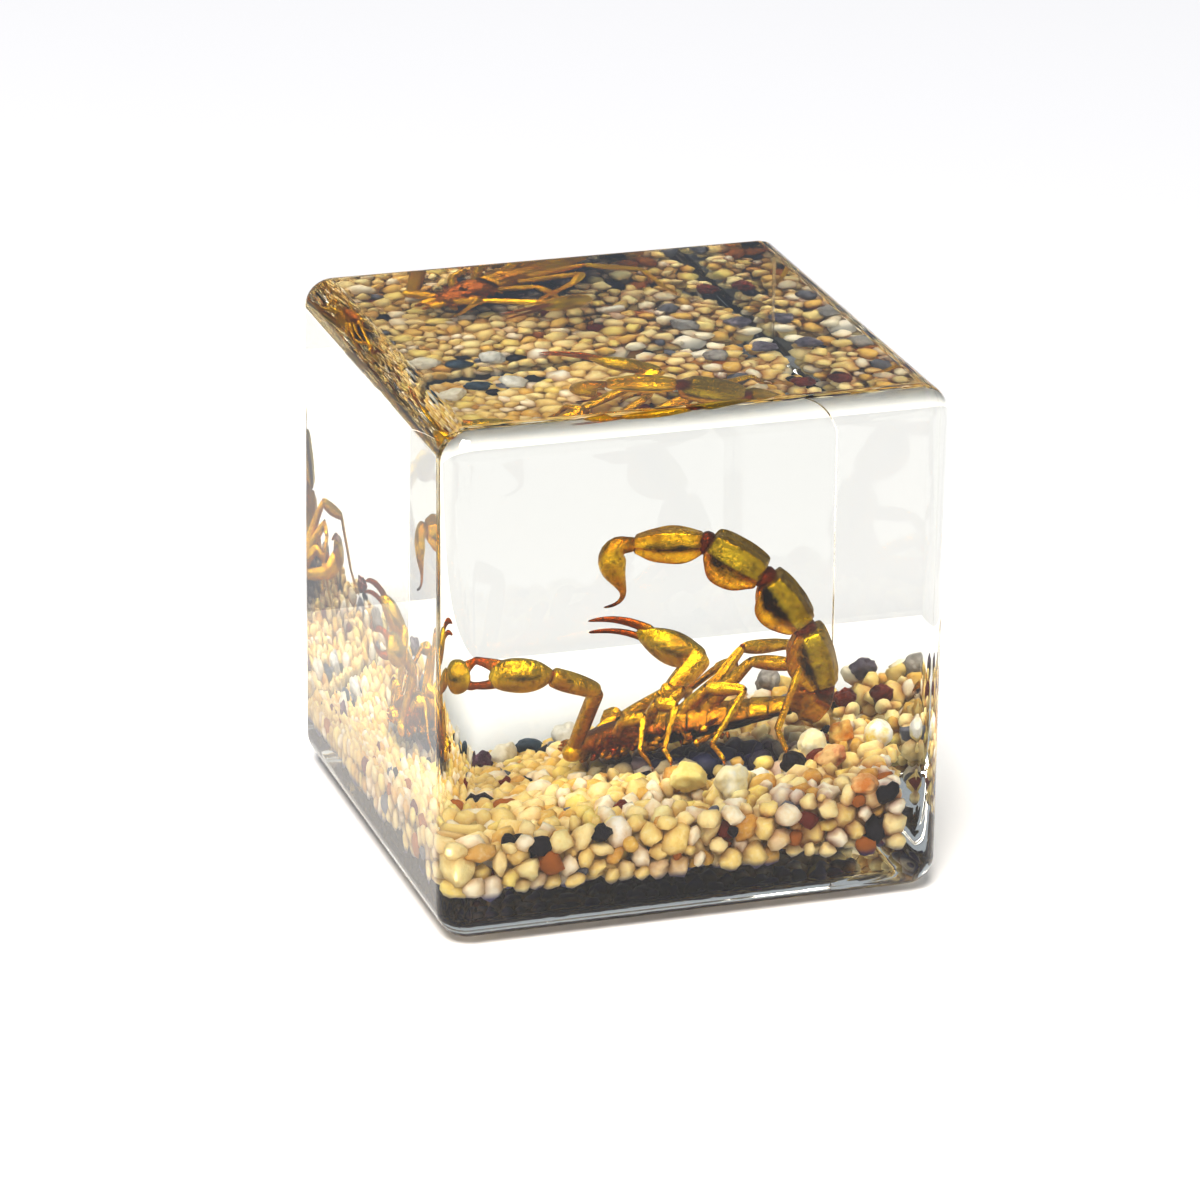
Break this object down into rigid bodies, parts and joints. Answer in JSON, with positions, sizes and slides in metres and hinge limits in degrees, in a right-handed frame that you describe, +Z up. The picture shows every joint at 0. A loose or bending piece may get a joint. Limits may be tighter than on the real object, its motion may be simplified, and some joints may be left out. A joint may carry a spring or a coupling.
{
  "type": "scorpion in resin block",
  "caption": "Clear resin cube with rounded edges holding a yellow scorpion, tail arched, over a layer of mixed pale gravel.",
  "frame": {"origin": "centre of the block's flat base", "axes": "+Z up, -Y out of the front face, +X to the block's right; the scorpion faces towards -X"},
  "size_m": [0.05, 0.0516, 0.051],
  "materials": {
    "clear_resin": "polished clear cast resin, see-through",
    "gravel": "mixed cream, tan, white and orange gravel set in the resin",
    "pale_stone": "smooth cream and white quartz pebbles",
    "dark_stone": "smooth black and blue-black pebbles",
    "red_stone": "angular dark red-brown and plum pebbles",
    "orange_stone": "rust, orange and amber pebbles",
    "grey_stone": "grey and slate pebbles",
    "scorpion_shell": "dried glossy yellow-brown shell with dark patches, red-brown fingers and a black sting tip"
  },
  "bodies": {
    "root": {"resin_lower": "clear_resin", "resin_upper": "clear_resin", "gravel_bed": "gravel", "pebble_egg": "pale_stone", "pebble_oxblood": "red_stone", "pebble_blue_black": "dark_stone", "pebble_pale_grey": "grey_stone", "pebble_plum": "red_stone", "pebble_cream_round": "pale_stone", "pebble_black": "dark_stone", "pebble_rust": "orange_stone", "pebble_orange": "orange_stone", "pebble_cream_large": "pale_stone", "pebble_butter": "pale_stone", "pebble_milk": "pale_stone", "pebble_slate": "grey_stone", "pebble_grey": "grey_stone", "pebble_amber": "orange_stone", "scorpion": "scorpion_shell"}
  },
  "joints": []
}
